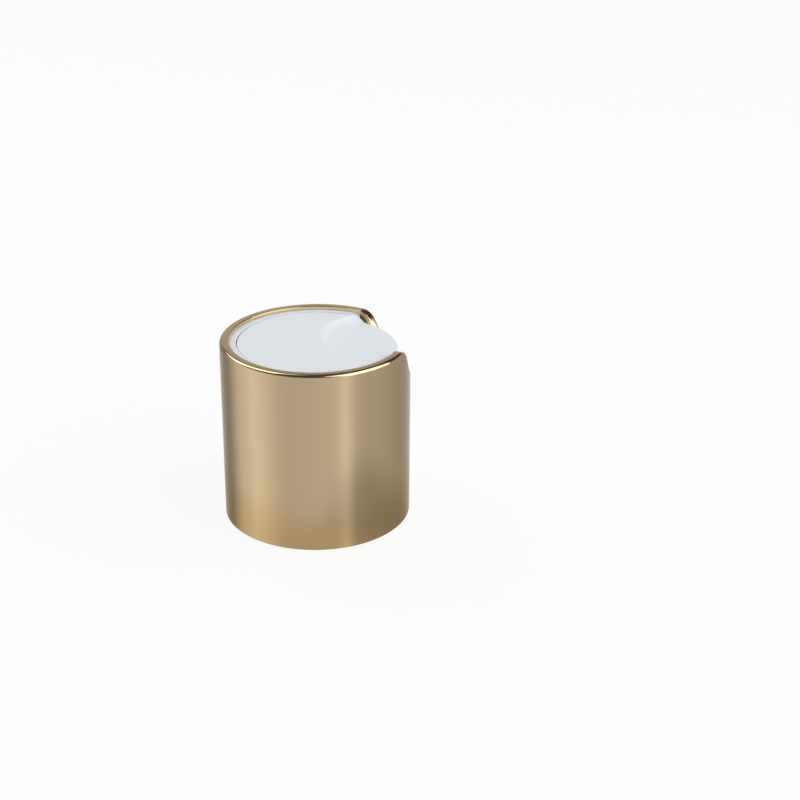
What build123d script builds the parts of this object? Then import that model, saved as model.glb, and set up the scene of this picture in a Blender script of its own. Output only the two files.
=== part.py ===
"""Disc top cap for a 24 mm bottle neck: a gilt aluminium overshell, a white inner cap with
the neck bore and the disc's chamber, and a white disc that rocks on two trunnions.

The origin is the centre of the foot, +Z runs up the cap's axis and the finger notch faces -Y.
Lengths are millimetres, angles are degrees.
"""

import os
from math import asin, cos, degrees, radians, sin, sqrt

from build123d import *

# Driving dimensions of the whole cap
cap_diameter = 28.0
cap_height = 27.7

# Overshell: drawn from sheet, its top edge turned in as a lip all round, the notch included
shell_wall = 0.5
lip_width = 1.4
edge_bevel = 0.3

# Finger notch, seen from the front: a shallow bath outline with rounded shoulders
notch_depth = 5.6
notch_arch = 0.2
notch_top_width = 17.8
notch_floor_width = 10.0
notch_corner_radius = 4.0
notch_shoulder_radius = 2.6

# Inner cap
shell_fit_gap = 0.05
inner_cap_foot = 0.3
inner_cap_top_chamfer = 0.3
white_ring_width = 1.0
inner_cap_wall = 1.3
neck_lead_chamfer = 0.6
neck_corner_chamfer = 0.8
deck_thickness = 1.3
seal_bead_inset = 1.95
seal_bead_width = 0.9
seal_bead_height = 0.6

# Rocking disc: above the pivot its sides are part of a sphere, so the gap stays even
disc_gap = 0.15
pivot_drop = 2.4
tilt_angle = 20.0
disc_plate = 1.2
skirt_drop = 3.4
skirt_wall = 0.9
disc_edge_bevel = 0.15
trunnion_radius = 1.1
trunnion_reach = 0.95
trunnion_gap = 0.06
trunnion_end_gap = 0.15
stop_gap = 0.3

# Front tab of the disc, which fills the notch from side to side, with its finger dish and guide rib
tab_side_gap = 0.4
tab_gap = 0.15
tab_inset = 0.4
dish_offset = 9.2
dish_radius = 8.3
dish_floor_radius = 6.8
dish_depth = 1.1
dish_rim_slope = 0.3
dish_lift = 0.02
rib_width = 1.1
rib_height = 0.22
rib_ramp = 1.0
rib_drop = 2.4

# Product way: deck port, the seat round it, the rocking seal and the channel to the rim
port_width = 4.0
port_length = 1.6
seat_wall = 1.0
seat_radius = 5.7
seal_gap = 0.12
channel_height = 1.9
channel_wall = 0.8

# Ledge that the disc's back edge rests on when it is shut
ledge_width = 9.0
ledge_depth = 1.2
ledge_gap = 0.1

# How far a cutting shape runs past what it cuts
cut_margin = 7.0

# Radii and heights that follow
cap_radius = cap_diameter / 2
shell_bore_radius = cap_radius - shell_wall
lip_radius = cap_radius - lip_width
inner_cap_radius = shell_bore_radius - shell_fit_gap
neck_bore_radius = inner_cap_radius - inner_cap_wall
seal_bead_radius = neck_bore_radius - seal_bead_inset
ring_top = cap_height - shell_wall
ring_radius = lip_radius - white_ring_width
disc_radius = ring_radius - disc_gap
pivot_height = ring_top - pivot_drop
disc_sphere = sqrt(disc_radius**2 + pivot_drop**2)
chamber_radius = disc_sphere + disc_gap
plate_underside = ring_top - disc_plate
dish_floor = ring_top - dish_depth
tab_sphere = lip_radius - tab_inset
tab_width = notch_top_width - 2 * tab_side_gap
skirt_foot = pivot_height - skirt_drop
skirt_foot_radius = sqrt(disc_sphere**2 - skirt_drop**2)
skirt_inner_radius = skirt_foot_radius - skirt_wall
tab_foot_radius = sqrt(tab_sphere**2 - skirt_drop**2)
tilt = radians(tilt_angle)
deck_top = pivot_height - tab_foot_radius * sin(tilt) - skirt_drop * cos(tilt) - stop_gap
deck_underside = deck_top - deck_thickness
rocker_radius = seat_radius - seal_gap
channel_top = plate_underside - pivot_height
channel_middle = channel_top - channel_height / 2
channel_floor = channel_top - channel_height - channel_wall
seat_length = port_width + 2 * seat_wall
duct_width = port_width + 2 * channel_wall
seal_front = port_length / 2 + channel_wall
seal_back = seal_front + rocker_radius * sin(tilt)
rib_reach = tab_sphere + rib_height
rib_root = sqrt(tab_sphere**2 - (dish_floor - pivot_height) ** 2)

# The drawing plane of the notch stands where the notch's sides meet the outside
notch_mid_width = (notch_top_width + notch_floor_width) / 2
notch_plane_reach = sqrt(cap_radius**2 - (notch_mid_width / 2) ** 2)


def notch_outline(reach, grow):
    """The notch outline on the plane y = -reach, grown by a margin, with radial sides."""
    slope = (notch_top_width - notch_floor_width) / 2 / notch_depth
    lean = sqrt(1 + slope**2)
    outline_top = cap_height + cut_margin
    top_half = notch_top_width / 2 + slope * cut_margin + grow * lean
    floor_half = notch_floor_width / 2 + grow * (lean - slope)
    floor_corner = cap_height - notch_depth + notch_arch - grow
    floor_middle = cap_height - notch_depth - grow
    with BuildSketch(Plane.XZ.offset(reach)) as outline:
        with BuildLine():
            Line((-floor_half, floor_corner), (-top_half, outline_top))
            Line((-top_half, outline_top), (top_half, outline_top))
            Line((top_half, outline_top), (floor_half, floor_corner))
            ThreePointArc(
                (floor_half, floor_corner), (0, floor_middle), (-floor_half, floor_corner)
            )
        make_face()
        low_corners = outline.vertices().group_by(Axis.Y)[0]
        fillet(low_corners, notch_corner_radius + grow)
        scale(by=(reach / notch_plane_reach, 1, 1))
    return outline.sketch


def notch_cutter(grow):
    """A solid that cuts the notch square to the round wall, from outside to near the axis."""
    with BuildPart() as cutter:
        add(notch_outline(cap_radius + cut_margin, grow))
        add(notch_outline(lip_radius - cut_margin, grow))
        loft(ruled=True)
    return cutter.part


def shoulder_edges(piece, height):
    """The two radial edges where the notch's sides reach a top face at this height."""
    level = piece.edges().filter_by_position(Axis.Z, height - 0.001, height + 0.001)
    return level.filter_by(GeomType.CIRCLE, reverse=True)


def on_radius(radius):
    """A test for edges whose middle lies at this distance from the cap's axis."""
    return lambda edge: abs(Vector((edge @ 0.5).X, (edge @ 0.5).Y).length - radius) < 0.001


STANDING = (Align.CENTER, Align.CENTER, Align.MIN)

# Space inside the overshell's wall and under its lip
with BuildPart() as shell_hollow:
    Cylinder(shell_bore_radius, ring_top, align=STANDING)
    add(notch_cutter(shell_wall), mode=Mode.SUBTRACT)
    fillet(shoulder_edges(shell_hollow, ring_top), notch_shoulder_radius - shell_wall)

# Overshell
with BuildPart() as outer_shell:
    Cylinder(cap_radius, cap_height, align=STANDING)
    Cylinder(lip_radius, cap_height, align=STANDING, mode=Mode.SUBTRACT)
    add(notch_cutter(0), mode=Mode.SUBTRACT)
    fillet(shoulder_edges(outer_shell, cap_height), notch_shoulder_radius)
    add(shell_hollow.part, mode=Mode.SUBTRACT)
    outside = outer_shell.edges().filter_by(on_radius(cap_radius))
    rim = outside.filter_by_position(Axis.Z, cap_height - notch_depth - shell_wall, cap_height)
    chamfer(rim, edge_bevel)
outer_shell.part.label = "outer_shell"

# Inner cap: its section first, then the notch, the tab's gap and what guides the disc
with BuildPart() as cap_body:
    with BuildSketch(Plane.XZ) as section:
        with BuildLine():
            Polyline(
                (chamber_radius, pivot_height),
                (chamber_radius, deck_top),
                (0, deck_top),
                (0, deck_underside),
                (seal_bead_radius - seal_bead_width / 2, deck_underside),
                (seal_bead_radius, deck_underside - seal_bead_height),
                (seal_bead_radius + seal_bead_width / 2, deck_underside),
                (neck_bore_radius - neck_corner_chamfer, deck_underside),
                (neck_bore_radius, deck_underside - neck_corner_chamfer),
                (neck_bore_radius, inner_cap_foot + neck_lead_chamfer),
                (neck_bore_radius + neck_lead_chamfer, inner_cap_foot),
                (inner_cap_radius, inner_cap_foot),
                (inner_cap_radius, ring_top - inner_cap_top_chamfer),
                (inner_cap_radius - inner_cap_top_chamfer, ring_top),
                (ring_radius, ring_top),
                close=True,
            )
        make_face()
    revolve(axis=Axis.Z)
    # The wall fills the space under the overshell's lip, so it dips at the notch as well
    add(shell_hollow.part, mode=Mode.INTERSECT)
    # Gap in the ring and pocket in the wall for the disc's tab
    with BuildSketch(Plane.XY.offset(deck_top)) as tab_pocket:
        Circle(tab_sphere + tab_gap)
        with Locations((0, -lip_radius / 2)):
            Rectangle(tab_width + 2 * tab_gap, lip_radius, mode=Mode.INTERSECT)
    extrude(until=Until.LAST, mode=Mode.SUBTRACT)
    # Ledge for the shut disc's back edge
    with BuildSketch(Plane.XY.offset(deck_top)) as ledge:
        Circle(chamber_radius + disc_gap)
        Circle(chamber_radius - ledge_depth, mode=Mode.SUBTRACT)
        with Locations((0, chamber_radius)):
            Rectangle(ledge_width, 2 * chamber_radius, mode=Mode.INTERSECT)
    extrude(amount=skirt_foot - ledge_gap - deck_top)
    # Seat round the deck port, hollowed to the arc that the disc's seal rocks on
    with BuildSketch(Plane.XY.offset(deck_top)) as seat:
        RectangleRounded(seat_length, port_length + 2 * seat_wall, seat_wall)
    extrude(amount=pivot_height - deck_top)
    with Locations((0, 0, pivot_height)):
        Cylinder(seat_radius, 2 * seat_length, rotation=(0, 90, 0), mode=Mode.SUBTRACT)
    with BuildSketch(Plane.XY.offset(deck_underside)) as port:
        SlotOverall(port_width, port_length)
    extrude(amount=pivot_height - deck_underside, mode=Mode.SUBTRACT)
    # Sockets for the trunnions
    with Locations((0, 0, pivot_height)):
        Cylinder(
            trunnion_radius + trunnion_gap,
            2 * (disc_sphere + trunnion_reach + trunnion_end_gap),
            rotation=(0, 90, 0),
            mode=Mode.SUBTRACT,
        )
cap_body.part.label = "cap_body"

# Disc's plate and skirt: a sphere's zone above the pivot, a taper below it
with BuildPart() as disc_shell:
    with BuildSketch(Plane.XZ) as disc_section:
        with BuildLine():
            CenterArc((0, pivot_height), disc_sphere, 0, degrees(asin(pivot_drop / disc_sphere)))
            Polyline(
                (disc_sphere, pivot_height),
                (skirt_foot_radius, skirt_foot),
                (skirt_inner_radius, skirt_foot),
                (skirt_inner_radius, plate_underside),
                (0, plate_underside),
                (0, ring_top),
                (disc_radius, ring_top),
            )
        make_face()
    revolve(axis=Axis.Z)
    chamfer(disc_shell.edges().group_by(Axis.Z)[-1], disc_edge_bevel)

# Underside of the dish
with BuildPart() as dish_bowl:
    with BuildSketch(Plane.XY.offset(plate_underside)) as dish_top:
        with Locations((0, -dish_offset)):
            Circle(dish_radius)
    with BuildSketch(Plane.XY.offset(dish_floor - disc_plate)) as dish_bottom:
        with Locations((0, -dish_offset)):
            Circle(dish_floor_radius)
    loft()
    with BuildSketch(Plane.XY.offset(plate_underside)) as hollow_outline:
        Circle(skirt_foot_radius)
    extrude(amount=-skirt_drop, mode=Mode.INTERSECT)

# Rocking seal: a stretch of a round bar about the pivot, cut off square in front and behind
with BuildPart() as rocking_seal:
    with Locations((0, 0, pivot_height)):
        Cylinder(rocker_radius, duct_width, rotation=(0, 90, 0))
    with Locations((0, (seal_front - seal_back) / 2, pivot_height)):
        Box(duct_width, seal_front + seal_back, 2 * rocker_radius, mode=Mode.INTERSECT)
    split(bisect_by=Plane.XY.offset(plate_underside), keep=Keep.BOTTOM)

# Tab that fills the gap in the ring
with BuildPart() as tab:
    with Locations((0, 0, pivot_height)):
        Sphere(tab_sphere, rotation=(0, 0, 90))
    split(bisect_by=Plane.XY.offset(ring_top), keep=Keep.BOTTOM)
    split(bisect_by=Plane.XY.offset(skirt_foot), keep=Keep.TOP)
    chamfer(tab.edges().group_by(Axis.Z)[-1], disc_edge_bevel)
    with Locations((0, -tab_sphere, pivot_height)):
        Box(tab_width, 2 * tab_sphere, 3 * tab_sphere, mode=Mode.INTERSECT)
    with BuildSketch(Plane.XY.offset(plate_underside)) as skirt_hollow:
        Circle(skirt_inner_radius)
    extrude(until=Until.LAST, dir=(0, 0, -1), mode=Mode.SUBTRACT)

# Duct that carries the product from the seal to the rim, below the plate
with BuildPart() as duct:
    with BuildSketch(Plane.XZ) as duct_section:
        with Locations((0, pivot_height + (channel_top + channel_floor) / 2)):
            Rectangle(duct_width, channel_top - channel_floor)
    extrude(amount=-(disc_sphere - skirt_wall))

# Guide rib down the middle of the tab's face, with a ramp at its top
with BuildPart() as guide_rib:
    with BuildSketch(Plane.YZ) as rib_side:
        with Locations((0, pivot_height)):
            Circle(rib_reach)
        with BuildLine():
            Polyline(
                (-tab_foot_radius, dish_floor),
                (-rib_root, dish_floor),
                (-rib_reach, dish_floor - rib_ramp),
                (-cap_radius, dish_floor - rib_ramp),
                (-cap_radius, pivot_height - rib_drop),
                (-tab_foot_radius, pivot_height - rib_drop),
                close=True,
            )
        make_face(mode=Mode.INTERSECT)
    extrude(amount=rib_width / 2, both=True)

# Disc
with BuildPart() as disc:
    add(disc_shell.part)
    add(tab.part)
    add(dish_bowl.part)
    add(rocking_seal.part)
    add(duct.part)
    # Trunnions, from inside the skirt to their ends in the sockets
    for side in (-1, 1):
        with BuildSketch(Plane.YZ.offset(side * skirt_inner_radius)) as trunnion:
            with Locations((0, pivot_height)):
                Circle(trunnion_radius)
        extrude(amount=side * (disc_sphere + trunnion_reach - skirt_inner_radius))
    # Finger dish, with a soft run from its floor up to the disc's face
    dish_plane = Plane(origin=(0, -dish_offset, ring_top), x_dir=(1, 0, 0), z_dir=(0, -1, 0))
    with BuildSketch(dish_plane) as dish:
        with BuildLine():
            Line((0, -dish_depth), (dish_floor_radius, -dish_depth))
            Spline(
                (dish_floor_radius, -dish_depth),
                (dish_radius, dish_lift),
                tangents=[(1, 0), (1, dish_rim_slope)],
            )
            Polyline(
                (dish_radius, dish_lift),
                (dish_radius, dish_depth),
                (0, dish_depth),
                (0, -dish_depth),
            )
        make_face()
    revolve(axis=Axis((0, -dish_offset, 0), (0, 0, 1)), mode=Mode.SUBTRACT)
    add(guide_rib.part)
    # Inlet that meets the port when the disc is tilted, and the channel to the back edge
    inlet_plane = Plane(
        origin=(0, 0, pivot_height), x_dir=(1, 0, 0), z_dir=(0, -sin(tilt), -cos(tilt))
    )
    with BuildSketch(inlet_plane.offset(-port_length / 2)) as inlet:
        SlotOverall(port_width, port_length)
    extrude(amount=rocker_radius + port_length, mode=Mode.SUBTRACT)
    with BuildSketch(Plane.XZ.offset(port_length / 2)) as channel:
        with Locations((0, pivot_height + channel_middle)):
            SlotOverall(port_width, channel_height)
    extrude(amount=-(2 * disc_sphere), mode=Mode.SUBTRACT)
disc.part.label = "disc"

os.makedirs("parts", exist_ok=True)
export_step(outer_shell.part, "parts/outer_shell.step")
export_step(cap_body.part, "parts/cap_body.step")
export_step(disc.part, "parts/disc.step")
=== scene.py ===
# %% [markdown]
# # A disc top cap in gilt aluminium and white polypropylene
#
# The imported solids are loaded first and stay where they are. The looks are built round them:
# a gilt overshell that mirrors the studio, two smooth white mouldings and the neck's thread.

# %% Load the imported frame and keep its parts where they stand
import math

import bmesh
import bpy
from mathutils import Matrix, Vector


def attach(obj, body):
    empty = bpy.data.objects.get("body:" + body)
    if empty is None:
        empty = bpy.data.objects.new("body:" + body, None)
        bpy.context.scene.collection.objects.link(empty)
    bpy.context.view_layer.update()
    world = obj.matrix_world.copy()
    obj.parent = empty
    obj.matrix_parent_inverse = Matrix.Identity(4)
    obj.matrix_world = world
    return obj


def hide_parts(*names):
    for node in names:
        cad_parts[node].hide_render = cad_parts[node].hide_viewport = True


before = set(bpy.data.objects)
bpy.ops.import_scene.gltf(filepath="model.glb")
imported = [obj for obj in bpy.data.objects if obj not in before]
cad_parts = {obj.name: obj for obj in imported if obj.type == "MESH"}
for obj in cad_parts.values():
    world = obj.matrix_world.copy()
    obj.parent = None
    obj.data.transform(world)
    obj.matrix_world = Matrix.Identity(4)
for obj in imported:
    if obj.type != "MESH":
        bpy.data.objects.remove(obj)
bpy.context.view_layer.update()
MM = 0.001


# %% [markdown]
# ## Helpers
#
# A colour is written as the hex value that a designer reads off a swatch, and Blender's shaders
# count in linear light, so one function turns the one into the other. Another small function
# adds a node with its settings and its links, and every tree below is made with it.

# %% Colour and node helpers
def linear(swatch):
    """An sRGB hex value such as "#F3D9AC" as linear red, green, blue and alpha."""
    values = [int(swatch[i : i + 2], 16) / 255 for i in (1, 3, 5)]
    bent = [v / 12.92 if v <= 0.04045 else ((v + 0.055) / 1.055) ** 2.4 for v in values]
    return (*bent, 1.0)


def add_node(tree, kind, inputs=None, **settings):
    """Adds a node, gives it its settings, and sets or links each named or numbered input."""
    made = tree.nodes.new(kind)
    for name, value in settings.items():
        setattr(made, name, value)
    for name, value in (inputs or {}).items():
        if isinstance(value, bpy.types.NodeSocket):
            tree.links.new(value, made.inputs[name])
        else:
            made.inputs[name].default_value = value
    return made


def new_material(name):
    """An empty material and its tree."""
    material = bpy.data.materials.new(name)
    material.use_nodes = True
    material.node_tree.nodes.clear()
    return material, material.node_tree


def finish_material(tree, shader):
    """Links the last shader to the material's output."""
    add_node(tree, "ShaderNodeOutputMaterial", {"Surface": shader.outputs[0]})


# %% [markdown]
# ## Gilt anodised aluminium
#
# The overshell is deep-drawn from thin aluminium sheet, polished, and anodised with a pale gold
# dye. It is nearly a mirror: its colour comes from the metal's own tint, and its bands of light
# and shade are the studio's. Drawing leaves faint upright waves in the wall, a fraction of a
# degree steep, and polishing leaves hairlines round the cap that soften reflections a little.
# A speck of dust here and there, a tenth of a millimetre across, keeps it from looking painted.
# The inner fold at the notch's shoulders looks much darker than the light alone makes it, so its
# shade is painted: the mesh marks that face with an attribute and the metal's tint is darker there.

# %% Gilt material
GILT_TINT = "#F4D7AC"
# Painted shade: the darker tint of the inner fold at the notch's shoulders
GILT_PAINTED_FOLD_SHADE = "#765519"
GILT_ROUGHNESS = 0.09
DRAW_WAVE_MM = 5.0
HAIRLINE_MM = 0.12
SPECK_CELL_MM = 4.5
SPECK_MM = 0.09
SPECK_TINT = "#6E5A3C"
WAVES_UP_A_METRE = 12.0
HAIR_CELLS_A_METRE = 40.0
ROUGHNESS_SPREAD = (0.8, 1.25)

gilt, tree = new_material("anodised_aluminium_gilt")
where = add_node(tree, "ShaderNodeTexCoord").outputs["Object"]
waves_round = 1 / (DRAW_WAVE_MM * MM)
wave_scale = (waves_round, waves_round, WAVES_UP_A_METRE)
wave_space = add_node(tree, "ShaderNodeMapping", {"Vector": where, "Scale": wave_scale})
waves = add_node(tree, "ShaderNodeTexNoise", {"Vector": wave_space.outputs[0], "Scale": 1.0, "Detail": 1.0})
hair_scale = (HAIR_CELLS_A_METRE, HAIR_CELLS_A_METRE, 1 / (HAIRLINE_MM * MM))
hair_space = add_node(tree, "ShaderNodeMapping", {"Vector": where, "Scale": hair_scale})
hairlines = add_node(
    tree, "ShaderNodeTexNoise", {"Vector": hair_space.outputs[0], "Scale": 1.0, "Detail": 2.0}
)
draw_bump = add_node(
    tree,
    "ShaderNodeBump",
    {"Height": waves.outputs[0], "Strength": 0.05, "Distance": 0.1 * MM},
)
roughness = add_node(
    tree,
    "ShaderNodeMapRange",
    {
        "Value": hairlines.outputs[0],
        "To Min": GILT_ROUGHNESS * ROUGHNESS_SPREAD[0],
        "To Max": GILT_ROUGHNESS * ROUGHNESS_SPREAD[1],
    },
)
speck_cells = add_node(
    tree, "ShaderNodeTexVoronoi", {"Vector": where, "Scale": 1 / (SPECK_CELL_MM * MM), "Randomness": 1.0}
)
speck_edge = SPECK_MM / SPECK_CELL_MM
speck_dark = add_node(
    tree,
    "ShaderNodeMapRange",
    {
        "Value": speck_cells.outputs["Distance"],
        "From Min": speck_edge * 0.5,
        "From Max": speck_edge,
        "To Min": 1.0,
        "To Max": 0.0,
    },
)
# Painted shade in the inner fold, read from the mesh's fold_shade attribute
fold_shade = add_node(tree, "ShaderNodeAttribute", attribute_name="fold_shade").outputs["Fac"]
dye_with_painted_fold_shade = add_node(
    tree, "ShaderNodeMix", {0: fold_shade, 6: linear(GILT_TINT), 7: linear(GILT_PAINTED_FOLD_SHADE)}, data_type="RGBA"
)
tint = add_node(
    tree,
    "ShaderNodeMix",
    {0: speck_dark.outputs[0], 6: dye_with_painted_fold_shade.outputs[2], 7: linear(SPECK_TINT)},
    data_type="RGBA",
)
metal = add_node(
    tree,
    "ShaderNodeBsdfPrincipled",
    {
        "Base Color": tint.outputs[2],
        "Metallic": 1.0,
        "Roughness": roughness.outputs[0],
        "Normal": draw_bump.outputs[0],
    },
)
finish_material(tree, metal)


# %% [markdown]
# ## White moulded polypropylene
#
# Both mouldings are opaque white polypropylene with a satin face from the mould. A little light
# goes into it and comes out again, so its edges and hollows look soft. The disc is a shade
# cooler than the ring round it.

# %% White materials
GRAIN_MM = 0.25
CLOUD_MM = 9


def moulded_white(name, swatch, roughness):
    """Satin white polypropylene with the mould's fine texture."""
    material, tree = new_material(name)
    where = add_node(tree, "ShaderNodeTexCoord").outputs["Object"]
    grain, cloud = (
        add_node(tree, "ShaderNodeTexNoise", {"Vector": where, "Scale": 1 / (size * MM), "Detail": detail})
        for size, detail in ((GRAIN_MM, 3.0), (CLOUD_MM, 2.0))
    )
    tone = add_node(
        tree,
        "ShaderNodeMapRange",
        {"Value": cloud.outputs[0], "From Min": 0.3, "From Max": 0.7, "To Min": 0.985, "To Max": 1.0},
    )
    base = add_node(
        tree,
        "ShaderNodeVectorMath",
        {0: linear(swatch)[:3], "Scale": tone.outputs[0]},
        operation="SCALE",
    )
    bump = add_node(
        tree, "ShaderNodeBump", {"Height": grain.outputs[0], "Strength": 0.12, "Distance": 0.01 * MM}
    )
    plastic = add_node(
        tree,
        "ShaderNodeBsdfPrincipled",
        {
            "Base Color": base.outputs[0],
            "Roughness": roughness,
            "IOR": 1.49,
            "Subsurface Weight": 0.45,
            "Subsurface Radius": (1.0, 0.9, 0.8),
            "Subsurface Scale": 0.6 * MM,
            "Normal": bump.outputs[0],
        },
    )
    finish_material(tree, plastic)
    return material


disc_white = moulded_white("polypropylene_disc_white", "#E6EAEE", 0.34)
cap_white = moulded_white("polypropylene_cap_white", "#E2E4E8", 0.38)


# %% [markdown]
# ## The gilt overshell
#
# The shell follows one rule: the same wall section is carried round the cap, and its top rides
# on the rim line, which runs level and dips into the finger notch. Flattened out, the rim line
# is a curve of distance round the cap against height. So the line and the section are drawn as
# two small curves, and Geometry Nodes lays a grid over them: each column takes a point of the
# rim line, each row a point of the section.

# %% Sizes of the overshell, in millimetres
CAP_RADIUS = 14.0
CAP_HEIGHT = 27.7
LIP_RADIUS = 12.6
SHELL_WALL = 0.5
EDGE_ROUND = 0.5
LIP_EDGE_ROUND = 0.1
FOOT_ROUND = 0.06
NOTCH_FLOOR_HALF = 5.0
NOTCH_FLOOR_CORNER = 22.3
NOTCH_FLOOR_MIDDLE = 22.1
NOTCH_SIDE_SLOPE = 0.7077
NOTCH_CORNER_RADIUS = 4.0
NOTCH_SHOULDER_RADIUS = 2.6
NOTCH_PLANE_REACH = 12.153
SHOULDER_LIP_RADIUS = 12.5
SHOULDER_LEAN = 24
SHOULDER_FACE = [(12.355, 0.405), (12.33, 0.455)]
SHOULDER_EDGE_DEPTH = 1.15


# %% [markdown]
# The notch is drawn as it looks from the front, on a flat plane before the cap. Its floor is a
# very flat arch, its low corners are rounded between that arch and the sloped sides, and its
# shoulders are rounded between the sides and the level rim.

# %% Draw the rim line
FLOOR_STEPS = 16
CORNER_STEPS = 24
SIDE_STEPS = 12
SHOULDER_STEPS = 14
LEVEL_STEPS = 140
JOIN_GAP = 0.05


def arc(centre, radius, start, end, steps):
    """Points of an arc between two angles in radians, both ends included."""
    angles = [start + (end - start) * i / steps for i in range(steps + 1)]
    return [(centre[0] + radius * math.cos(a), centre[1] + radius * math.sin(a)) for a in angles]


def unrolled(point):
    """A point of the front drawing as distance round the cap and height."""
    return (CAP_RADIUS * math.atan2(point[0], NOTCH_PLANE_REACH), point[1])


def notch_half():
    """Half of the rim line, from the notch's middle to the back of the cap, unrolled."""
    sagitta = NOTCH_FLOOR_CORNER - NOTCH_FLOOR_MIDDLE
    arch_radius = (NOTCH_FLOOR_HALF**2 + sagitta**2) / (2 * sagitta)
    arch_centre = Vector((0, NOTCH_FLOOR_MIDDLE + arch_radius))
    side = Vector((NOTCH_SIDE_SLOPE, 1)).normalized()
    inward = Vector((-side.y, side.x))
    start = Vector((NOTCH_FLOOR_HALF, NOTCH_FLOOR_CORNER)) + inward * NOTCH_CORNER_RADIUS
    from_arch = start - arch_centre
    along = from_arch.dot(side)
    reach = arch_radius - NOTCH_CORNER_RADIUS
    centre = start + side * (-along - math.sqrt(along**2 - from_arch.length_squared + reach**2))
    low = math.atan2(*(centre - arch_centre).yx)
    floor = arc(arch_centre, arch_radius, -math.pi / 2, low, FLOOR_STEPS)
    corner = arc(centre, NOTCH_CORNER_RADIUS, low, math.atan2(*(-inward).yx), CORNER_STEPS)
    line = [unrolled(p) for p in floor + corner[1:]]
    foot = Vector(corner[-1])
    rise = CAP_HEIGHT - foot.y
    whole_side = side * (rise / side.y)
    side_line = [unrolled(foot + whole_side * i / SIDE_STEPS) for i in range(SIDE_STEPS + 1)]
    top = Vector(side_line[-1])
    down = (Vector(side_line[-3]) - top).normalized()
    away = Vector((1, 0))
    half_angle = down.angle(away) / 2
    bisector = (down + away).normalized()
    shoulder_centre = top + bisector * NOTCH_SHOULDER_RADIUS / math.sin(half_angle)
    first = math.atan2(down.x, -down.y) + math.pi
    shoulder = arc(shoulder_centre, NOTCH_SHOULDER_RADIUS, first, math.pi / 2, SHOULDER_STEPS)
    line += [p for p in side_line[1:] if p[1] < shoulder[0][1] - JOIN_GAP]
    line += shoulder
    level_from = shoulder[-1][0]
    level = math.pi * CAP_RADIUS - level_from
    steps = range(1, LEVEL_STEPS + 1)
    return line + [(level_from + level * i / LEVEL_STEPS, CAP_HEIGHT) for i in steps]


half = notch_half()
rim_line = [(-u, z) for u, z in reversed(half[1:])] + half
print("rim line", len(rim_line), "points, notch floor at", round(half[0][1], 2), "mm")


# %% [markdown]
# The section is written as three numbers a point: the radius, how far the point lies inside the
# rim line, and how far down the wall it stands, from 0 at the rim to 1 at the foot. It starts at
# the foot, climbs the outside, rolls over the edge, crosses the lip and goes down the inside.
# A second section, for the two shoulders of the notch, has a lip whose face leans in and runs
# further down. There the sheet was bent two ways at once.

# %% Draw the wall's section
WALL_STEPS = 8
EDGE_STEPS = 14
FLANGE_STEPS = 4
LIP_CORNER_STEPS = 6
CUT_EDGE_STEPS = 5


def roll(radius_at, inset_at, size, start, end, steps):
    """A rounded edge of the section: its middle, its size and its two angles in degrees."""
    return [
        (radius_at + p[0], inset_at - p[1], 0.0)
        for p in arc((0, 0), size, math.radians(start), math.radians(end), steps)
    ]


def whole_section(lip_radius, lean, face, edge_depth):
    """The closed section for a lip whose face leans by an angle and runs down to a depth."""
    low = 1 - FOOT_ROUND / CAP_HEIGHT
    outside = CAP_RADIUS - EDGE_ROUND
    corner = lip_radius + LIP_EDGE_ROUND
    points = [(CAP_RADIUS - FOOT_ROUND, EDGE_ROUND, 1.0), (CAP_RADIUS, EDGE_ROUND, low)]
    points += [(CAP_RADIUS, EDGE_ROUND, low * (1 - i / WALL_STEPS)) for i in range(1, WALL_STEPS)]
    points += roll(outside, EDGE_ROUND, EDGE_ROUND, 0, 90, EDGE_STEPS)
    flange = corner - outside
    points += [(outside + flange * i / FLANGE_STEPS, 0.0, 0.0) for i in range(1, FLANGE_STEPS)]
    points += roll(corner, LIP_EDGE_ROUND, LIP_EDGE_ROUND, 90, 180 - lean, LIP_CORNER_STEPS)
    points += [(radius, inset, 0.0) for radius, inset in face]
    cut_edge = (face[-1][0] + LIP_EDGE_ROUND, edge_depth - LIP_EDGE_ROUND)
    points += roll(*cut_edge, LIP_EDGE_ROUND, 180, 270, CUT_EDGE_STEPS)
    inner_radius = CAP_RADIUS - SHELL_WALL
    return points + [(inner_radius, SHELL_WALL, 0.0), (inner_radius, SHELL_WALL, 1.0), points[0]]


wall_section = whole_section(LIP_RADIUS, 0, [(LIP_RADIUS, 0.2), (LIP_RADIUS, 0.25)], SHELL_WALL)
shoulder_section = whole_section(SHOULDER_LIP_RADIUS, SHOULDER_LEAN, SHOULDER_FACE, SHOULDER_EDGE_DEPTH)
print("wall section", len(wall_section), "points")


# %% [markdown]
# The three lists become poly curves, the plainest thing that Geometry Nodes can sample.

# %% Turn the lists into guide curves
def guide_curve(name, points):
    """A poly curve through points in millimetres, for a tree to sample."""
    data = bpy.data.curves.new(name, "CURVE")
    data.dimensions = "3D"
    spline = data.splines.new("POLY")
    spline.points.add(len(points) - 1)
    for target, point in zip(spline.points, points):
        x, y, z = (*point, 0.0)[:3]
        target.co = (x * MM, y * MM, z, 1.0)
    guide = bpy.data.objects.new(name, data)
    bpy.context.collection.objects.link(guide)
    return guide


rim_guide = guide_curve("rim_guide", rim_line)
section_guide = guide_curve("section_guide", wall_section)
shoulder_guide = guide_curve("shoulder_guide", shoulder_section)


# %% [markdown]
# The tree finds each grid point's column and row, looks up the rim line's point and direction
# and the section's three numbers, steps inwards from the line, and wraps the result round the
# cap's axis. Near a shoulder it mixes in the second section, and marks the fold's face for the
# material's painted shade. The mark is stored while the grid is still flat, because every lookup
# reads the grid's own positions. Merging doubles then closes the seam at the back and the one at the foot.

# %% Build the overshell's tree
FOLD_DEPTH_MM = (0.40, 0.46)
FOLD_RADIUS_MM = (12.45, 12.40)
MERGE_MM = 0.001


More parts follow.
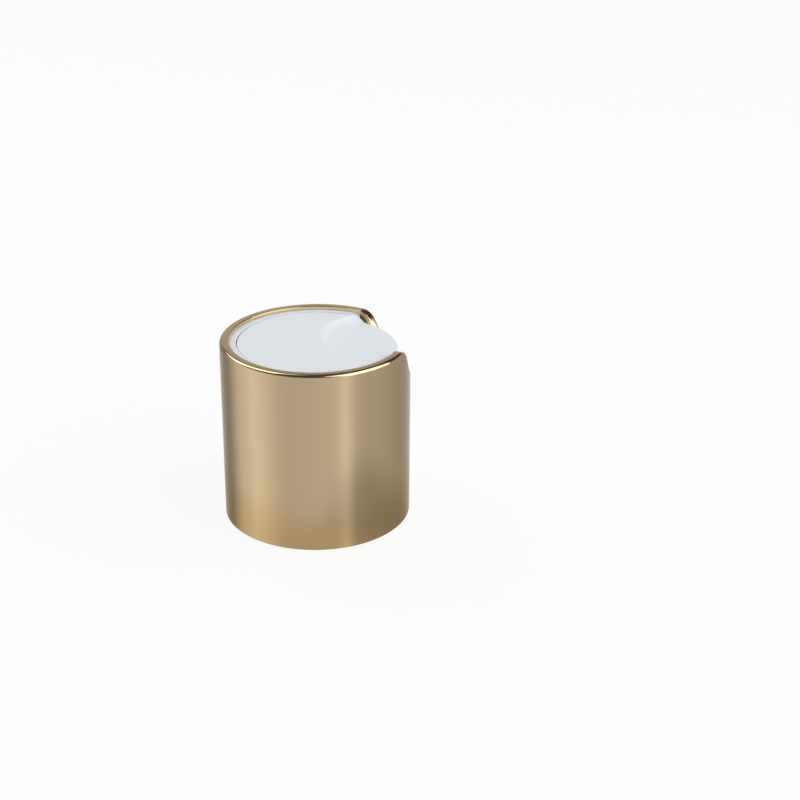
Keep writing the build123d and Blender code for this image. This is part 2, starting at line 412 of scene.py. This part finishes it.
def new_tree(name, sockets):
    """A Geometry Nodes tree with named inputs, and the identifiers of those inputs."""
    tree = bpy.data.node_groups.new(name, "GeometryNodeTree")
    tree.interface.new_socket("Geometry", in_out="OUTPUT", socket_type="NodeSocketGeometry")
    keys = {}
    for label, kind in sockets.items():
        socket = tree.interface.new_socket(label, in_out="INPUT", socket_type=kind)
        keys[label] = socket.identifier
    return tree, keys


def finish_tree(tree, last, material):
    """Makes the last node's result real, gives it its material and links it to the output."""
    real = add_node(tree, "GeometryNodeRealizeInstances", {"Geometry": last.outputs[0]})
    dressed = add_node(tree, "GeometryNodeSetMaterial", {"Geometry": real.outputs[0], "Material": material})
    add_node(tree, "NodeGroupOutput", {0: dressed.outputs[0]})


tree, shell_keys = new_tree(
    "shell_over_rim_line",
    {
        "Rim Line": "NodeSocketObject",
        "Wall Section": "NodeSocketObject",
        "Shoulder Section": "NodeSocketObject",
        "Level Rim From": "NodeSocketFloat",
        "Notch Side From": "NodeSocketFloat",
        "Fade": "NodeSocketFloat",
        "Cap Radius": "NodeSocketFloat",
        "Material": "NodeSocketMaterial",
    },
)
given = add_node(tree, "NodeGroupInput").outputs
position = add_node(tree, "GeometryNodeInputPosition").outputs[0]
tangent = add_node(tree, "GeometryNodeInputTangent").outputs[0]
rim_curve, section_curve, shoulder_curve = (
    add_node(tree, "GeometryNodeObjectInfo", {"Object": given[label]}).outputs["Geometry"]
    for label in ("Rim Line", "Wall Section", "Shoulder Section")
)
rim_size, section_size = (
    add_node(tree, "GeometryNodeAttributeDomainSize", {"Geometry": curve}, component="CURVE")
    for curve in (rim_curve, section_curve)
)
grid = add_node(
    tree,
    "GeometryNodeMeshGrid",
    {
        "Size X": 1.0,
        "Size Y": 1.0,
        "Vertices X": rim_size.outputs["Point Count"],
        "Vertices Y": section_size.outputs["Point Count"],
    },
)
place = add_node(tree, "ShaderNodeSeparateXYZ", {0: position})
lookups = {}
for axis, size in (("X", rim_size), ("Y", section_size)):
    share = add_node(tree, "ShaderNodeMath", {0: place.outputs[axis], 1: 0.5}, operation="ADD")
    last = add_node(tree, "ShaderNodeMath", {0: size.outputs["Point Count"], 1: 1.0}, operation="SUBTRACT")
    count = add_node(tree, "ShaderNodeMath", {0: share.outputs[0], 1: last.outputs[0]}, operation="MULTIPLY")
    lookups[axis] = add_node(tree, "ShaderNodeMath", {0: count.outputs[0]}, operation="ROUND").outputs[0]


def looked_up(curve, value, index):
    """The value at one point of a guide curve, as separate x, y and z."""
    sample = add_node(
        tree,
        "GeometryNodeSampleIndex",
        {"Geometry": curve, "Value": value, "Index": index},
        data_type="FLOAT_VECTOR",
        domain="POINT",
    )
    return add_node(tree, "ShaderNodeSeparateXYZ", {0: sample.outputs[0]}).outputs


rim_point = looked_up(rim_curve, position, lookups["X"])
rim_way = looked_up(rim_curve, tangent, lookups["X"])
section_point = looked_up(section_curve, position, lookups["Y"])
shoulder_point = looked_up(shoulder_curve, position, lookups["Y"])
from_front = add_node(tree, "ShaderNodeMath", {0: rim_point["X"]}, operation="ABSOLUTE").outputs[0]
fade_out = add_node(tree, "ShaderNodeMath", {0: given["Level Rim From"], 1: given["Fade"]}, operation="ADD")
fade_in = add_node(tree, "ShaderNodeMath", {0: given["Notch Side From"], 1: given["Fade"]}, operation="ADD")
before_level = add_node(
    tree,
    "ShaderNodeMapRange",
    {"Value": from_front, "From Min": fade_out.outputs[0], "From Max": given["Level Rim From"]},
    interpolation_type="SMOOTHSTEP",
)
past_corner = add_node(
    tree,
    "ShaderNodeMapRange",
    {"Value": from_front, "From Min": given["Notch Side From"], "From Max": fade_in.outputs[0]},
    interpolation_type="SMOOTHSTEP",
)
at_shoulder = add_node(
    tree, "ShaderNodeMath", {0: before_level.outputs[0], 1: past_corner.outputs[0]}, operation="MULTIPLY"
).outputs[0]
radius, inset = (
    add_node(
        tree, "ShaderNodeMix", {0: at_shoulder, 2: section_point[axis], 3: shoulder_point[axis]}
    ).outputs[0]
    for axis in ("X", "Y")
)
drop = section_point["Z"]
# Where the shade is painted: the lip's inward face, below the rim, at a shoulder
down_face = add_node(
    tree,
    "ShaderNodeMapRange",
    {
        "Value": shoulder_point["Y"],
        "From Min": FOLD_DEPTH_MM[0] * MM,
        "From Max": FOLD_DEPTH_MM[1] * MM,
    },
)
inner_face = add_node(
    tree,
    "ShaderNodeMapRange",
    {
        "Value": shoulder_point["X"],
        "From Min": FOLD_RADIUS_MM[0] * MM,
        "From Max": FOLD_RADIUS_MM[1] * MM,
    },
)
in_fold = add_node(
    tree, "ShaderNodeMath", {0: down_face.outputs[0], 1: inner_face.outputs[0]}, operation="MULTIPLY"
)
fold_shade = add_node(tree, "ShaderNodeMath", {0: in_fold.outputs[0], 1: at_shoulder}, operation="MULTIPLY")
step_round = add_node(
    tree, "ShaderNodeMath", {0: inset, 1: rim_way["Y"], 2: rim_point["X"]}, operation="MULTIPLY_ADD"
).outputs[0]
step_down = add_node(tree, "ShaderNodeMath", {0: inset, 1: rim_way["X"]}, operation="MULTIPLY").outputs[0]
height = add_node(tree, "ShaderNodeMath", {0: rim_point["Y"], 1: step_down}, operation="SUBTRACT").outputs[0]
wall_left = add_node(tree, "ShaderNodeMath", {0: 1.0, 1: drop}, operation="SUBTRACT").outputs[0]
level = add_node(tree, "ShaderNodeMath", {0: height, 1: wall_left}, operation="MULTIPLY").outputs[0]
angle = add_node(
    tree, "ShaderNodeMath", {0: step_round, 1: given["Cap Radius"]}, operation="DIVIDE"
).outputs[0]
sine = add_node(tree, "ShaderNodeMath", {0: angle}, operation="SINE").outputs[0]
cosine = add_node(tree, "ShaderNodeMath", {0: angle}, operation="COSINE").outputs[0]
across = add_node(tree, "ShaderNodeMath", {0: radius, 1: sine}, operation="MULTIPLY").outputs[0]
behind = add_node(tree, "ShaderNodeMath", {0: radius, 1: cosine}, operation="MULTIPLY").outputs[0]
front = add_node(tree, "ShaderNodeMath", {0: behind, 1: -1.0}, operation="MULTIPLY").outputs[0]
wrapped = add_node(tree, "ShaderNodeCombineXYZ", {"X": across, "Y": front, "Z": level})
marked = add_node(
    tree,
    "GeometryNodeStoreNamedAttribute",
    {"Geometry": grid.outputs["Mesh"], "Name": "fold_shade", "Value": fold_shade.outputs[0]},
)
placed = add_node(
    tree, "GeometryNodeSetPosition", {"Geometry": marked.outputs[0], "Position": wrapped.outputs[0]}
)
closed = add_node(
    tree, "GeometryNodeMergeByDistance", {"Geometry": placed.outputs[0], "Distance": MERGE_MM * MM}
)
finish_tree(tree, closed, given["Material"])


# %% [markdown]
# The tree's result is kept as a plain mesh. Its faces have to point outwards, which the sign of
# its volume tells, and only edges sharper than 30 degrees stay sharp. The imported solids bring
# corner normals of their own, which would hold every edge smooth, so those go first.

# %% Make the overshell
def made_by_tree(name, tree, keys, values):
    """Runs a tree once and keeps what it makes as a plain mesh object."""
    host = bpy.data.objects.new(name + "_host", bpy.data.meshes.new(name + "_host"))
    bpy.context.collection.objects.link(host)
    modifier = host.modifiers.new("tree", "NODES")
    modifier.node_group = tree
    for label, value in values.items():
        modifier[keys[label]] = value
    bpy.context.view_layer.update()
    evaluated = host.evaluated_get(bpy.context.evaluated_depsgraph_get())
    mesh = bpy.data.meshes.new_from_object(evaluated)
    mesh.name = name
    bpy.data.objects.remove(host)
    piece = bpy.data.objects.new(name, mesh)
    bpy.context.collection.objects.link(piece)
    return piece


def smooth(piece, sharp_from=30):
    """Turns faces outwards if the mesh is inside out, and shades it smooth up to an angle."""
    old_normals = piece.data.attributes.get("custom_normal")
    if old_normals:
        piece.data.attributes.remove(old_normals)
    work = bmesh.new()
    work.from_mesh(piece.data)
    bmesh.ops.remove_doubles(work, verts=work.verts, dist=MERGE_MM / 2 * MM)
    volume = work.calc_volume(signed=True)
    if volume < 0:
        bmesh.ops.reverse_faces(work, faces=work.faces)
    work.normal_update()
    limit = math.radians(sharp_from)
    for face in work.faces:
        face.smooth = True
    for edge in work.edges:
        edge.smooth = edge.is_manifold and edge.calc_face_angle() < limit
    open_edges = sum(1 for e in work.edges if not e.is_manifold)
    sharp_edges = sum(1 for e in work.edges if not e.smooth)
    work.to_mesh(piece.data)
    work.free()
    piece.data.update()
    faces = len(piece.data.polygons)
    print(piece.name, faces, "faces", round(abs(volume) * 1e9), "mm3", open_edges, "open edges")
    print(piece.name, sharp_edges, "edges sharper than", sharp_from, "degrees")


SHOULDER_FADE = 1.4
LEVEL_LEAD = 0.6
CORNER_RISE = 1.5

shoulder_end = min(u for u, z in half if z > CAP_HEIGHT - MERGE_MM)
corner_end = max(u for u, z in half if z < NOTCH_FLOOR_CORNER + CORNER_RISE)
print("notch side from", round(corner_end, 2), "mm, level rim from", round(shoulder_end, 2), "mm")
overshell = made_by_tree(
    "gilt_overshell",
    tree,
    shell_keys,
    {
        "Rim Line": rim_guide,
        "Wall Section": section_guide,
        "Shoulder Section": shoulder_guide,
        "Level Rim From": (shoulder_end - LEVEL_LEAD) * MM,
        "Notch Side From": corner_end * MM,
        "Fade": SHOULDER_FADE * MM,
        "Cap Radius": CAP_RADIUS * MM,
        "Material": gilt,
    },
)
smooth(overshell)
for guide in (rim_guide, section_guide, shoulder_guide):
    bpy.data.objects.remove(guide)
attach(overshell, "closure")
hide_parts("outer_shell")


# %% [markdown]
# ## The two white mouldings
#
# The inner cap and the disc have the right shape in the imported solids, down to the gap between
# them. Their meshes are loose triangles, so a copy of each is merged and shaded smooth. Weighted
# normals keep the flats flat and let each narrow bevel read as the rounding that it stands for.

# %% Copy the mouldings
MOULD_SHARP_FROM = 50


def smooth_copy(name, node, body, material):
    """A merged, smooth-shaded copy of a CAD node that stands in for it."""
    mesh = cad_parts[node].data.copy()
    mesh.name = name
    piece = bpy.data.objects.new(name, mesh)
    bpy.context.collection.objects.link(piece)
    mesh.materials.clear()
    mesh.materials.append(material)
    smooth(piece, sharp_from=MOULD_SHARP_FROM)
    even = piece.modifiers.new("even_normals", "WEIGHTED_NORMAL")
    even.keep_sharp = True
    bpy.context.view_layer.update()
    evaluated = piece.evaluated_get(bpy.context.evaluated_depsgraph_get())
    piece.data = bpy.data.meshes.new_from_object(evaluated)
    piece.modifiers.clear()
    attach(piece, body)
    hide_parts(node)


smooth_copy("white_inner_cap", "cap_body", "closure", cap_white)
smooth_copy("white_disc", "disc", "disc", disc_white)


# %% [markdown]
# ## The neck's thread
#
# Inside the bore a ridge of one and a half turns grips the bottle's thread. Geometry Nodes draw
# it: a spiral curve carries a small section, whose scale shrinks towards both ends, so the ridge
# runs out into the wall as a moulded thread does.

# %% Build and make the thread
THREAD_ROOT_RADIUS = 12.2
THREAD_PITCH = 3.175
THREAD_TURNS = 1.5
THREAD_START = 2.6
THREAD_DEPTH = 1.05
RUNOUT_SHARE = 0.07
RUNOUT_SCALE = 0.03
SPIRAL_POINTS = 120

tree, thread_keys = new_tree(
    "thread_in_bore",
    {
        "Root Radius": "NodeSocketFloat",
        "Pitch": "NodeSocketFloat",
        "Turns": "NodeSocketFloat",
        "Start Height": "NodeSocketFloat",
        "Ridge Section": "NodeSocketObject",
        "Material": "NodeSocketMaterial",
    },
)
given = add_node(tree, "NodeGroupInput").outputs
rise = add_node(tree, "ShaderNodeMath", {0: given["Pitch"], 1: given["Turns"]}, operation="MULTIPLY")
spiral = add_node(
    tree,
    "GeometryNodeCurveSpiral",
    {
        "Resolution": SPIRAL_POINTS,
        "Rotations": given["Turns"],
        "Start Radius": given["Root Radius"],
        "End Radius": given["Root Radius"],
        "Height": rise.outputs[0],
    },
)
upright = add_node(tree, "GeometryNodeSetCurveNormal", {"Curve": spiral.outputs[0]}, mode="Z_UP")
along = add_node(tree, "GeometryNodeSplineParameter").outputs["Factor"]
mirrored = add_node(tree, "ShaderNodeMath", {0: 1.0, 1: along}, operation="SUBTRACT")
to_end = add_node(tree, "ShaderNodeMath", {0: along, 1: mirrored.outputs[0]}, operation="MINIMUM")
runout = add_node(
    tree,
    "ShaderNodeMapRange",
    {"Value": to_end.outputs[0], "From Max": RUNOUT_SHARE, "To Min": RUNOUT_SCALE, "To Max": 1.0},
    interpolation_type="SMOOTHSTEP",
)
section = add_node(tree, "GeometryNodeObjectInfo", {"Object": given["Ridge Section"]}).outputs["Geometry"]
ridge = add_node(
    tree,
    "GeometryNodeCurveToMesh",
    {
        "Curve": upright.outputs[0],
        "Profile Curve": section,
        "Scale": runout.outputs[0],
        "Fill Caps": True,
    },
)
lift = add_node(tree, "ShaderNodeCombineXYZ", {"Z": given["Start Height"]})
lifted = add_node(
    tree, "GeometryNodeTransform", {"Geometry": ridge.outputs[0], "Translation": lift.outputs[0]}
)
finish_tree(tree, lifted, given["Material"])

# Half of the ridge's section: share of its depth, and millimetres from its middle
RIDGE_HALF = [(0.95, 0.3), (0.75, 0.5), (0.0, 0.95)]
ridge_points = [(THREAD_DEPTH * share, -away) for share, away in reversed(RIDGE_HALF)]
ridge_points += [(THREAD_DEPTH, 0.0)] + [(THREAD_DEPTH * share, away) for share, away in RIDGE_HALF]
ridge_guide = guide_curve("ridge_guide", ridge_points)
ridge_guide.data.splines[0].use_cyclic_u = True
thread = made_by_tree(
    "neck_thread",
    tree,
    thread_keys,
    {
        "Root Radius": THREAD_ROOT_RADIUS * MM,
        "Pitch": THREAD_PITCH * MM,
        "Turns": THREAD_TURNS,
        "Start Height": THREAD_START * MM,
        "Ridge Section": ridge_guide,
        "Material": cap_white,
    },
)
bpy.data.objects.remove(ridge_guide)
smooth(thread, sharp_from=MOULD_SHARP_FROM)
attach(thread, "closure")
reach = [Vector((v.co.x, v.co.y)).length / MM for v in thread.data.vertices]
print("thread runs from radius", round(min(reach), 2), "to", round(max(reach), 2))


# %% [markdown]
# ## Studio
#
# Polished metal shows its surroundings, so those are designed as carefully as the cap. The wall
# mirrors a grey room with two brighter sides, the flange looks at its dim ceiling, and the rolled
# edge sweeps over everything in between. A pale table and two softboxes light the white parts.

# %% Brightness round the room
# Each stop is a direction, in degrees round the cap from +X towards +Y, and a brightness.
ROOM_STOPS = [
    (-180, 0.53),
    (-169, 0.60),
    (-159, 0.69),
    (-147, 0.50),
    (-132, 0.43),
    (-110, 0.40),
    (-60, 0.34),
    (-20, 0.58),
    (5, 0.42),
    (32, 0.25),
    (55, 0.51),
    (72, 0.64),
    (88, 0.71),
    (118, 0.52),
    (145, 0.49),
    (180, 0.53),
]


def room_glow(tree, direction):
    """The room's brightness in a direction, from a ramp that runs once round the cap."""
    split = add_node(tree, "ShaderNodeSeparateXYZ", {0: direction})
    turn = add_node(
        tree, "ShaderNodeMath", {0: split.outputs["Y"], 1: split.outputs["X"]}, operation="ARCTAN2"
    )
    share = add_node(
        tree,
        "ShaderNodeMapRange",
        {"Value": turn.outputs[0], "From Min": -math.pi, "From Max": math.pi},
    )
    ramp = add_node(tree, "ShaderNodeValToRGB", {0: share.outputs[0]})
    ramp.color_ramp.interpolation = "CARDINAL"
    stops = ramp.color_ramp.elements
    for _ in ROOM_STOPS[2:]:
        stops.new(0.5)
    for stop, (degrees, _) in zip(stops, ROOM_STOPS):
        stop.position = (degrees + 180) / 360
    for stop, (_, glow) in zip(stops, ROOM_STOPS):
        stop.color = (glow, glow, glow, 1.0)
    return ramp.outputs["Color"], split


# %% [markdown]
# The world is white to the camera and an even pale light to matt surfaces. Mirrors see the room:
# its glow near the horizon and a dim ceiling above.

# %% World
CEILING_FROM = (0.36, 0.50)
CEILING_GLOW = 0.16
LOW_ROOM_TO = 0.38
LOW_ROOM_GLOW = 0.72
MATT_LIGHT = (0.51, 0.52, 0.53, 1.0)

world = bpy.data.worlds.new("studio")
bpy.context.scene.world = world
world.use_nodes = True
tree = world.node_tree
tree.nodes.clear()
facing = add_node(tree, "ShaderNodeTexCoord").outputs["Generated"]
glow, split = room_glow(tree, facing)
ceiling = add_node(
    tree,
    "ShaderNodeMapRange",
    {
        "Value": split.outputs["Z"],
        "From Min": CEILING_FROM[0],
        "From Max": CEILING_FROM[1],
        "To Min": 1.0,
        "To Max": CEILING_GLOW,
    },
    interpolation_type="SMOOTHSTEP",
)
low_room = add_node(
    tree,
    "ShaderNodeMapRange",
    {"Value": split.outputs["Z"], "From Max": LOW_ROOM_TO, "To Min": 1.0, "To Max": LOW_ROOM_GLOW},
)
room = add_node(tree, "ShaderNodeVectorMath", {0: glow, "Scale": ceiling.outputs[0]}, operation="SCALE")
room_low = add_node(
    tree, "ShaderNodeVectorMath", {0: room.outputs[0], "Scale": low_room.outputs[0]}, operation="SCALE"
)
rays = add_node(tree, "ShaderNodeLightPath").outputs
for_mirrors = add_node(tree, "ShaderNodeBackground", {"Color": room_low.outputs[0], "Strength": 1.0})
for_matt = add_node(tree, "ShaderNodeBackground", {"Color": MATT_LIGHT, "Strength": 1.0})
for_camera = add_node(tree, "ShaderNodeBackground", {"Color": (1.0, 1.0, 1.0, 1.0), "Strength": 1.0})
matt_or_mirror = add_node(
    tree,
    "ShaderNodeMixShader",
    {0: rays["Is Glossy Ray"], 1: for_matt.outputs[0], 2: for_mirrors.outputs[0]},
)
seen = add_node(
    tree,
    "ShaderNodeMixShader",
    {0: rays["Is Camera Ray"], 1: matt_or_mirror.outputs[0], 2: for_camera.outputs[0]},
)
add_node(tree, "ShaderNodeOutputWorld", {"Surface": seen.outputs[0]})


# %% [markdown]
# The table is a wide white sheet. To the camera it is lifted towards the white of the
# background and keeps the cap's soft shadow. Mirrors look through it, as through tinted glass,
# at the room's glow, so the bands in the wall run straight down to the foot. The tint stands for
# two things that lie close to the foot: light that the gilt throws back, which is warm, and a
# soft shade before the cap on its right.

# %% Table
TABLE_HALF = 1.5
TABLE_DROP_MM = 0.02
WARM_REACH_MM = 32.0
WARM_TINT = "#F4ECD6"
SHADE_MIDDLE_MM = (-21.0, -12.0)
SHADE_CORE_MM = 4.0
SHADE_REACH_MM = 23.0
SHADE_TINT = 0.68
SHEET_GREY = (0.88, 0.88, 0.88, 1.0)
SHEET_LIFT = 0.88

table_mesh = bpy.data.meshes.new("table")
work = bmesh.new()
bmesh.ops.create_circle(work, cap_ends=True, segments=96, radius=TABLE_HALF)
work.to_mesh(table_mesh)
work.free()
table = bpy.data.objects.new("table", table_mesh)
table.location.z = -TABLE_DROP_MM * MM
bpy.context.collection.objects.link(table)

paper, tree = new_material("white_table_sheet")
where = add_node(tree, "ShaderNodeTexCoord").outputs["Object"]
from_axis = add_node(tree, "ShaderNodeVectorMath", {0: where}, operation="LENGTH")
past_foot = add_node(
    tree,
    "ShaderNodeMapRange",
    {"Value": from_axis.outputs["Value"], "From Min": CAP_RADIUS * MM, "From Max": WARM_REACH_MM * MM},
    interpolation_type="SMOOTHERSTEP",
)
warm = add_node(
    tree,
    "ShaderNodeMix",
    {0: past_foot.outputs[0], 6: linear(WARM_TINT), 7: (1.0, 1.0, 1.0, 1.0)},
    data_type="RGBA",
)
shade_middle = tuple(v * MM for v in SHADE_MIDDLE_MM) + (0.0,)
from_shade = add_node(tree, "ShaderNodeVectorMath", {0: where, 1: shade_middle}, operation="DISTANCE")
shade = add_node(
    tree,
    "ShaderNodeMapRange",
    {
        "Value": from_shade.outputs["Value"],
        "From Min": SHADE_CORE_MM * MM,
        "From Max": SHADE_REACH_MM * MM,
        "To Min": SHADE_TINT,
    },
    interpolation_type="SMOOTHSTEP",
)
tinted = add_node(
    tree, "ShaderNodeVectorMath", {0: warm.outputs[2], "Scale": shade.outputs[0]}, operation="SCALE"
)
mirrored_sheet = add_node(tree, "ShaderNodeBsdfTransparent", {"Color": tinted.outputs[0]})
matt_sheet = add_node(tree, "ShaderNodeBsdfDiffuse", {"Color": SHEET_GREY})
white = add_node(tree, "ShaderNodeEmission", {"Color": (1.0, 1.0, 1.0, 1.0), "Strength": 1.0})
lifted_sheet = add_node(
    tree, "ShaderNodeMixShader", {0: SHEET_LIFT, 1: matt_sheet.outputs[0], 2: white.outputs[0]}
)
rays = add_node(tree, "ShaderNodeLightPath").outputs
unseen_sheet = add_node(
    tree,
    "ShaderNodeMixShader",
    {0: rays["Is Glossy Ray"], 1: matt_sheet.outputs[0], 2: mirrored_sheet.outputs[0]},
)
sheet = add_node(
    tree,
    "ShaderNodeMixShader",
    {0: rays["Is Camera Ray"], 1: unseen_sheet.outputs[0], 2: lifted_sheet.outputs[0]},
)
finish_material(tree, sheet)
table_mesh.materials.append(paper)


# %% [markdown]
# Two square softboxes stand high over the table, a big one on the notch's side and a smaller
# one behind the cap. Each draws a bright line along the part of the rolled edge that looks its
# way, with the dim ceiling as a dark line beside it.

# %% Lamps
def softbox(name, direction, distance, size, power):
    """A square area lamp that looks at the cap from a direction, in degrees round and up."""
    turn, up = (math.radians(a) for a in direction)
    aim = Vector((0, 0, CAP_HEIGHT / 2 * MM))
    way = Vector((math.cos(turn) * math.cos(up), math.sin(turn) * math.cos(up), math.sin(up)))
    data = bpy.data.lights.new(name, "AREA")
    data.shape = "SQUARE"
    data.size = size
    data.energy = power
    lamp = bpy.data.objects.new(name, data)
    lamp.location = aim + way * distance
    lamp.rotation_euler = way.to_track_quat("Z", "Y").to_euler()
    bpy.context.collection.objects.link(lamp)


softbox("front_softbox", (-130, 37), 0.6, 0.72, 2.5)
softbox("back_softbox", (35, 50), 0.6, 0.44, 1.05)


# %% [markdown]
# ## Camera
#
# The lens and the camera's place were worked out from the cap's ellipses and upright sides.

# %% Camera
camera_data = bpy.data.cameras.new("camera")
camera_data.lens = 73.205
camera_data.sensor_width = 36.0
camera_data.clip_start = 0.01
camera = bpy.data.objects.new("camera", camera_data)
camera.location = Vector((-213.03, 57.08, 118.73)) * MM
camera.rotation_euler = [math.radians(a) for a in (65.364, -0.387, -108.067)]
bpy.context.collection.objects.link(camera)
bpy.context.scene.camera = camera
bpy.context.scene.view_settings.view_transform = "Standard"
